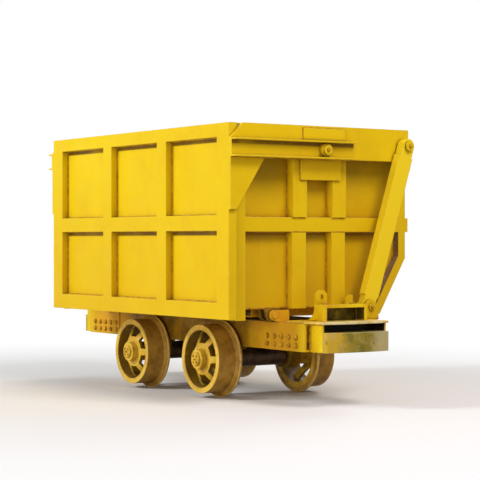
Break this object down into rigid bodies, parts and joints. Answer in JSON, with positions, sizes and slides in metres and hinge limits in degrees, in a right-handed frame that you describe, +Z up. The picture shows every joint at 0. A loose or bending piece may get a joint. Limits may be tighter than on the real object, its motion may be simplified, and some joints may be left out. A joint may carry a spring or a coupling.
{
  "type": "side dump mine car",
  "caption": "Narrow gauge mine car whose tub tips sideways on hinges while levers and links carry its side door clear and upright.",
  "frame": {"origin": "on the floor under the wheel flanges, at mid length and mid width", "axes": "+X along the track to the front end, -Y to the door side, +Z up"},
  "size_m": [2.72, 1.27, 1.5439],
  "materials": {
    "safety_paint": "worn gloss paint",
    "door_paint": "worn gloss paint",
    "wheel_paint": "dirty paint on cast iron",
    "buffer_steel": "worn, with paint left in the hollows",
    "axle_steel": "dark, greasy",
    "roller_steel": "rolled bright on the tread"
  },
  "bodies": {
    "chassis": {"sill_door_side": "safety_paint", "sill_slope_side": "safety_paint", "cross_member_middle": "safety_paint", "cross_member_front": "safety_paint", "cross_member_rear": "safety_paint", "deck_front": "safety_paint", "deck_rear": "safety_paint", "bumper_housing_front": "safety_paint", "bumper_housing_rear": "safety_paint", "buffer_pad_front": "buffer_steel", "buffer_pad_rear": "buffer_steel", "coupler_pocket_front": "safety_paint", "coupler_pocket_rear": "safety_paint", "chain_lug_front": "safety_paint", "chain_lug_rear": "safety_paint", "link_bracket_front": "safety_paint", "link_bracket_rear": "safety_paint", "hinge_bracket_front": "safety_paint", "hinge_bracket_rear": "safety_paint", "rest_pad_front": "safety_paint", "rest_pad_rear": "safety_paint", "axle_box_door_side_front": "safety_paint", "axle_box_door_side_rear": "safety_paint", "axle_box_slope_side_front": "safety_paint", "axle_box_slope_side_rear": "safety_paint"},
    "tub": {"tub_floor": "safety_paint", "floor_bearers": "safety_paint", "side_wall": "safety_paint", "roller_bracket": "safety_paint", "end_wall_front": "safety_paint", "end_wall_rear": "safety_paint", "pivot_box_front": "safety_paint", "pivot_box_rear": "safety_paint", "tub_ears_front": "safety_paint", "tub_ears_rear": "safety_paint"},
    "door": {"door_panel": "door_paint", "door_lever_front": "safety_paint", "door_lever_rear": "safety_paint"},
    "link_front": {"link_front": "safety_paint"},
    "link_rear": {"link_rear": "safety_paint"},
    "wheelset_front": {"axle_front": "axle_steel", "wheel_door_side_front": "wheel_paint", "wheel_slope_side_front": "wheel_paint"},
    "wheelset_rear": {"axle_rear": "axle_steel", "wheel_door_side_rear": "wheel_paint", "wheel_slope_side_rear": "wheel_paint"},
    "roller": {"dump_roller": "roller_steel"}
  },
  "joints": [
    {"name": "tub_tip", "type": "hinge", "parent": "chassis", "child": "tub", "pos_m": [0, -0.29, 0.495], "axis": [1, 0, 0], "range_deg": [0, 40]},
    {"name": "door_swing", "type": "hinge", "parent": "tub", "child": "door", "pos_m": [0, 0, 1.41], "axis": [1, 0, 0], "range_deg": [-40, 0]},
    {"name": "link_front_swing", "type": "hinge", "parent": "chassis", "child": "link_front", "pos_m": [1.059, 0.275, 0.533], "axis": [1, 0, 0], "range_deg": [0, 40]},
    {"name": "link_rear_swing", "type": "hinge", "parent": "chassis", "child": "link_rear", "pos_m": [-1.059, 0.275, 0.533], "axis": [1, 0, 0], "range_deg": [0, 40]},
    {"name": "wheelset_front_spin", "type": "hinge", "parent": "chassis", "child": "wheelset_front", "pos_m": [0.39, 0, 0.225], "axis": [0, 1, 0], "continuous": true},
    {"name": "wheelset_rear_spin", "type": "hinge", "parent": "chassis", "child": "wheelset_rear", "pos_m": [-0.39, 0, 0.225], "axis": [0, 1, 0], "continuous": true},
    {"name": "roller_spin", "type": "hinge", "parent": "tub", "child": "roller", "pos_m": [0, 0.58, 0.562], "axis": [0, 1, 0], "continuous": true}
  ],
  "couplings": [
    {"joint": "door_swing", "follows": "tub_tip", "ratio": -1},
    {"joint": "link_front_swing", "follows": "tub_tip", "ratio": 1},
    {"joint": "link_rear_swing", "follows": "tub_tip", "ratio": 1}
  ]
}
